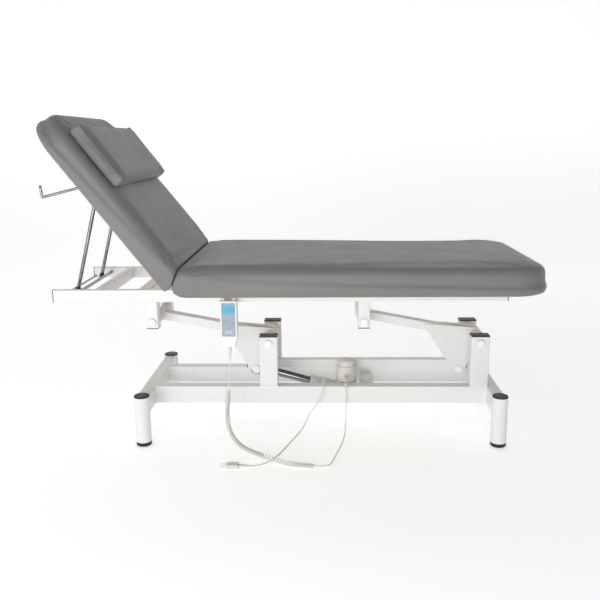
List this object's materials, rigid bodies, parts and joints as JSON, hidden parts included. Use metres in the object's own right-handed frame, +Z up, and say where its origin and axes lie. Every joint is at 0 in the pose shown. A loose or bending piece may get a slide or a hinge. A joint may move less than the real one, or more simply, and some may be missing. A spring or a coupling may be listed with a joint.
{
  "type": "medical examination table",
  "caption": "Electric height-adjustable examination table with a padded seat, folding padded backrest, pillow, white steel frame, linear actuator and corded hand control.",
  "frame": {"origin": "on the floor, under the middle of the whole table", "axes": "+X along the table from the backrest's end to the foot end, +Y away from the hand control's side, +Z up"},
  "size_m": [1.552, 0.7452, 1.0574],
  "materials": {
    "frame": "white powder coat, satin",
    "black_plastic": "black moulded plastic",
    "rubber": "black rubber",
    "zinc": "bright zinc plate",
    "chrome": "polished chrome",
    "nylon": "natural nylon",
    "actuator_plastic": "off-white moulded plastic",
    "upholstery": "grey vinyl leather, fine grain",
    "board": "plywood",
    "handset_plastic": "off-white moulded plastic",
    "button": "teal membrane",
    "cord": "off-white PVC"
  },
  "bodies": {
    "base": {"base_rail_near": "frame", "base_rail_far": "frame", "base_end_tube_head": "frame", "base_end_tube_foot": "frame", "corner_posts": "frame", "post_caps": "black_plastic", "rubber_feet": "rubber", "uprights": "frame", "upright_caps": "black_plastic", "base_pivot_bolts": "frame", "actuator_cross_member": "frame", "actuator_rear_bracket": "frame", "actuator_rear_pin": "zinc", "handset_cord_lead": "cord", "handset_cord_coil": "cord", "handset_cord_tail": "cord", "mains_cable": "cord", "mains_plug": "cord"},
    "head_arm": {"head_arm_cross_tubes": "frame", "head_arm_beam": "frame", "head_arm_crank_plates": "frame", "head_arm_crank_pin": "frame", "head_arm_bushes": "nylon"},
    "foot_arm": {"foot_arm_cross_tubes": "frame", "foot_arm_beam": "frame", "foot_arm_crank_plates": "frame", "foot_arm_crank_pin": "frame", "foot_arm_bushes": "nylon"},
    "tie_bar": {"tie_bar": "frame", "tie_bar_plugs": "black_plastic", "tie_bar_bushes": "nylon"},
    "actuator": {"actuator_housing": "actuator_plastic", "actuator_nose": "nylon", "actuator_motor": "zinc", "actuator_spindle": "zinc"},
    "piston": {"actuator_rod": "chrome", "actuator_rod_eye": "chrome", "actuator_nut": "nylon"},
    "bed": {"bed_rail_near": "frame", "bed_rail_far": "frame", "bed_rail_plugs": "black_plastic", "bed_cross_tubes": "frame", "frame_rods": "chrome", "bed_brackets": "frame", "bed_bracket_plugs": "black_plastic", "bed_pivot_bolts": "frame", "hinge_brackets": "frame", "handset_holder": "frame", "seat_board": "board", "seat_cushion": "upholstery"},
    "backrest": {"backrest_board": "board", "backrest_cushion": "upholstery", "pillow": "upholstery", "hinge_leaves": "frame", "prop_lugs": "frame", "paper_roll_hooks": "chrome"},
    "props": {"prop_rods": "chrome"},
    "handset": {"handset_body": "handset_plastic"},
    "button_up": {"handset_button_up": "button"},
    "button_down": {"handset_button_down": "button"}
  },
  "joints": [
    {"name": "lift", "type": "hinge", "parent": "base", "child": "head_arm", "pos_m": [-0.094, 0, 0.311], "axis": [0, 1, 0], "range_deg": [-12.8, 40], "deforming": ["handset_cord_lead", "handset_cord_coil", "handset_cord_tail", "mains_cable"]},
    {"name": "foot_arm_turn", "type": "hinge", "parent": "base", "child": "foot_arm", "pos_m": [0.606, 0, 0.311], "axis": [0, 1, 0], "range_deg": [-13.3, 40.5]},
    {"name": "bed_level", "type": "hinge", "parent": "head_arm", "child": "bed", "pos_m": [-0.47709, 0, 0.38408], "axis": [0, 1, 0], "range_deg": [-40.5, 13.3]},
    {"name": "tie_bar_level", "type": "hinge", "parent": "head_arm", "child": "tie_bar", "pos_m": [-0.144, 0, 0.192], "axis": [0, 1, 0], "range_deg": [-40.5, 13.3]},
    {"name": "actuator_tilt", "type": "hinge", "parent": "base", "child": "actuator", "pos_m": [0.2, 0, 0.095], "axis": [0, 1, 0], "range_deg": [-1.68, 4.6]},
    {"name": "actuator_stroke", "type": "slide", "parent": "actuator", "child": "piston", "axis": [-0.9625, 0, 0.2714], "range_m": [-0.02715, 0.08378]},
    {"name": "backrest_fold", "type": "hinge", "parent": "bed", "child": "backrest", "pos_m": [-0.366, 0, 0.538], "axis": [0, 1, 0], "range_deg": [-52.5, 0]},
    {"name": "prop_fold", "type": "hinge", "parent": "backrest", "child": "props", "pos_m": [-0.632, 0, 0.81], "axis": [0, 1, 0], "range_deg": [0, 31.6]},
    {"name": "handset_lift_off", "type": "slide", "parent": "bed", "child": "handset", "axis": [0, 0, 1], "range_m": [0, 0.01]},
    {"name": "button_up_press", "type": "slide", "parent": "handset", "child": "button_up", "axis": [0, 1, 0], "range_m": [0, 0.001], "stiffness_N_per_m": 600, "springref_m": -0.0005},
    {"name": "button_down_press", "type": "slide", "parent": "handset", "child": "button_down", "axis": [0, 1, 0], "range_m": [0, 0.001], "stiffness_N_per_m": 600, "springref_m": -0.0005}
  ],
  "couplings": [
    {"joint": "foot_arm_turn", "follows": "lift", "ratio": 1},
    {"joint": "bed_level", "follows": "lift", "ratio": -1},
    {"joint": "tie_bar_level", "follows": "lift", "ratio": -1},
    {"joint": "actuator_tilt", "follows": "lift", "ratio": 0.10747},
    {"joint": "actuator_stroke", "follows": "lift", "m_per_rad": 0.11929},
    {"joint": "prop_fold", "follows": "backrest_fold", "ratio": -0.6}
  ]
}
